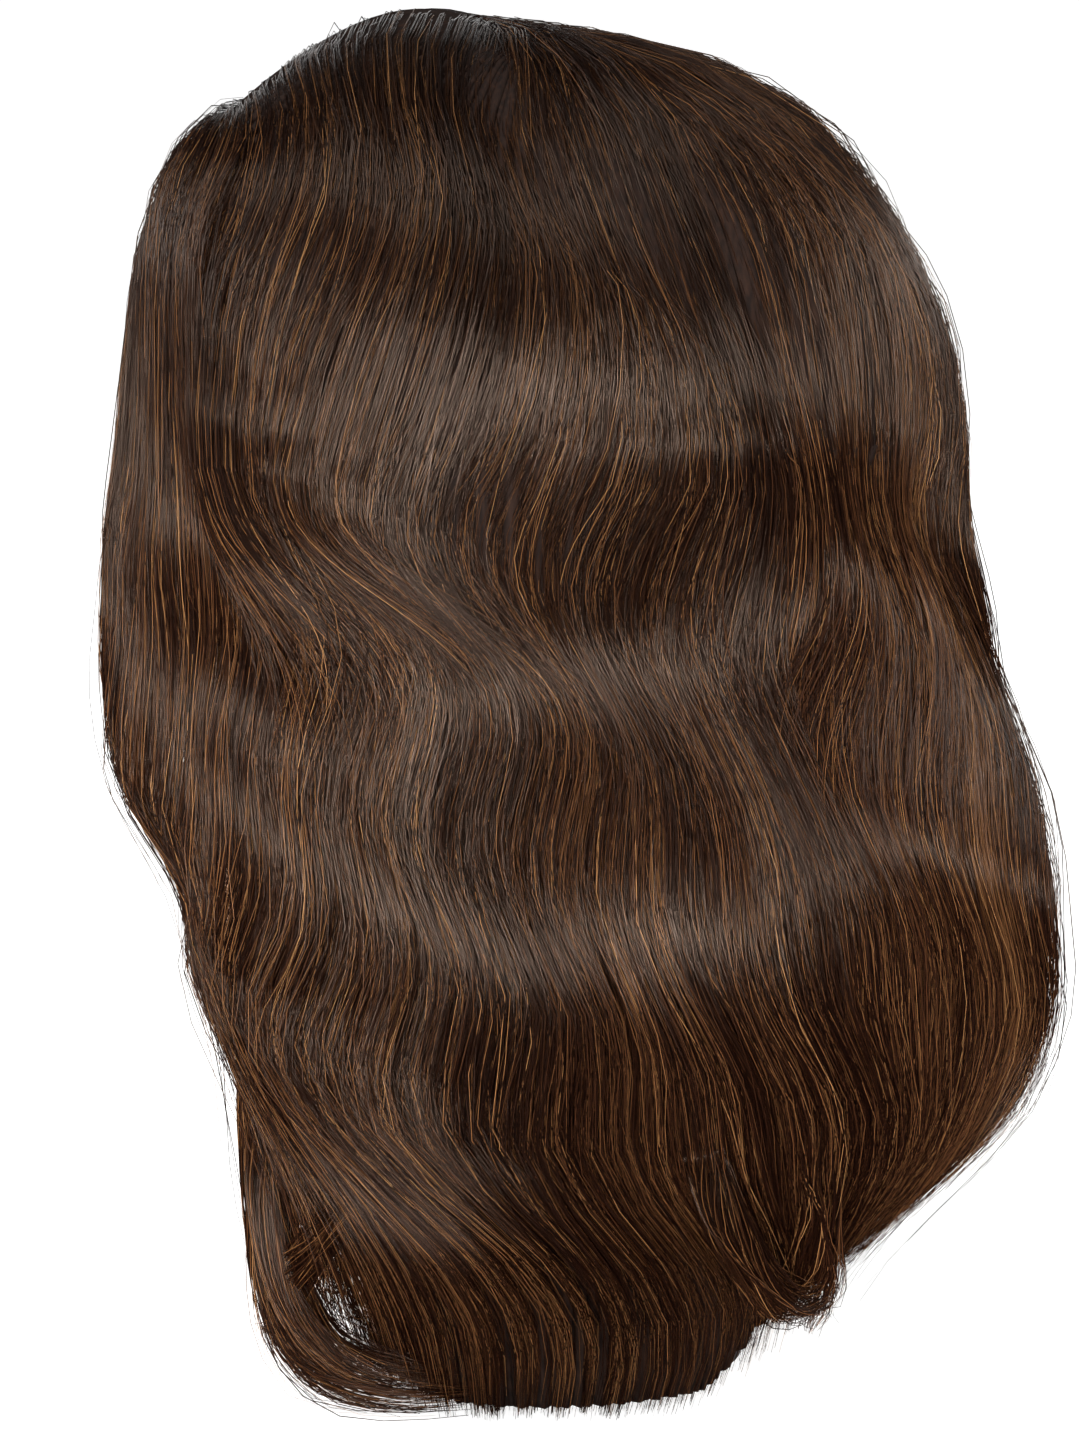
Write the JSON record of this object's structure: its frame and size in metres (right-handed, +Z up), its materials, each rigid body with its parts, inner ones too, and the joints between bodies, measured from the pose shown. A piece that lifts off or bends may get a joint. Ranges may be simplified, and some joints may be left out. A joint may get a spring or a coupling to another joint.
{
  "type": "mannequin training head",
  "caption": "Hairdresser's training head: soft-skinned head on a flat neck base with a clamp socket and mid-length layered dark-brown hair.",
  "frame": {"origin": "centre of the neck base on the surface the head stands on, at the mouth of the clamp socket", "axes": "+Z up, the face looks along -Y, and +X is the head's own left"},
  "size_m": [0.1994, 0.2285, 0.3219],
  "materials": {
    "skin": "soft matte vinyl skin, slightly warm on lips and cheeks",
    "foam": "rigid polyurethane foam, open fine cells",
    "base_plastic": "moulded black plastic, fine grain",
    "sleeve_plastic": "moulded dark grey plastic",
    "eye": "clear-coated acrylic with a brown iris",
    "lash": "stiff black lash fibres on a thin band",
    "hair": "implanted hair strands, satin sheen along the strand"
  },
  "bodies": {
    "root": {"head_skin": "skin", "foam_core": "foam", "base_plate": "base_plastic", "socket_sleeve": "sleeve_plastic", "eye_left": "eye", "eye_right": "eye", "lash_left": "lash", "lash_right": "lash", "fringe_left": "hair", "fringe_right": "hair", "top_side_left": "hair", "top_side_right": "hair", "crown_back_left": "hair", "crown_back_right": "hair", "side_front_left": "hair", "side_left": "hair", "side_right": "hair", "back_left": "hair", "back_right": "hair", "nape_left": "hair", "nape_right": "hair", "front_curl": "hair", "tip_curl": "hair"}
  },
  "joints": []
}
